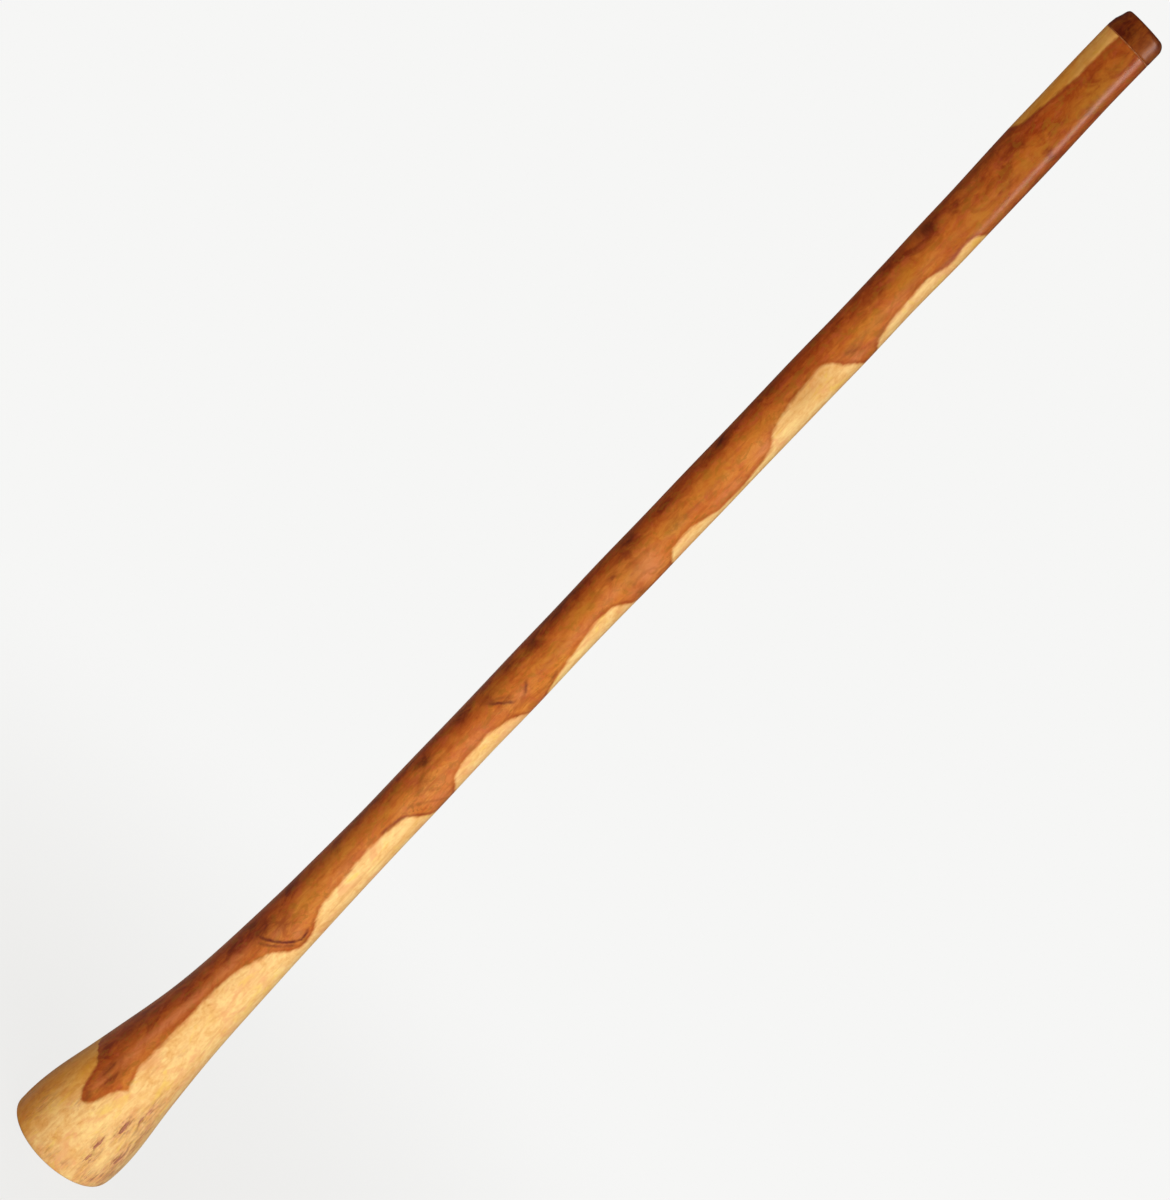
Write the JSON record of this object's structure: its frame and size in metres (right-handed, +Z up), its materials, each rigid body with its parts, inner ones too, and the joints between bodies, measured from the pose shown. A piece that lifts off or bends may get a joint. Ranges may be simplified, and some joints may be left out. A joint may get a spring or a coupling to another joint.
{
  "type": "didgeridoo",
  "caption": "Hollow-log wind instrument with a flared foot and a turned dark-wood mouthpiece that plugs into its top on a wax bed.",
  "frame": {"origin": "centre of the whole object's box, on the plane of the bell's standing face", "axes": "+Z up the log from the bell to the mouthpiece; the log's lower end sweeps towards -X; -Y is the side with the drying checks"},
  "size_m": [0.1136, 0.113, 1.3999],
  "materials": {
    "log_wood": "gloss varnish over red-brown heartwood and pale gold sapwood",
    "mouthpiece_wood": "gloss varnish over dark red-brown wood",
    "beeswax": "soft satin",
    "check_resin": "satin"
  },
  "bodies": {
    "log": {"trunk": "log_wood", "check_filler_1": "check_resin", "check_filler_2": "check_resin", "check_filler_3": "check_resin", "check_filler_4": "check_resin", "check_filler_5": "check_resin"},
    "mouth_end": {"mouthpiece": "mouthpiece_wood", "wax_seal": "beeswax"}
  },
  "joints": [
    {"name": "mouthpiece_lift", "type": "slide", "parent": "log", "child": "mouth_end", "axis": [0, 0, 1], "range_m": [0, 0.03]}
  ]
}
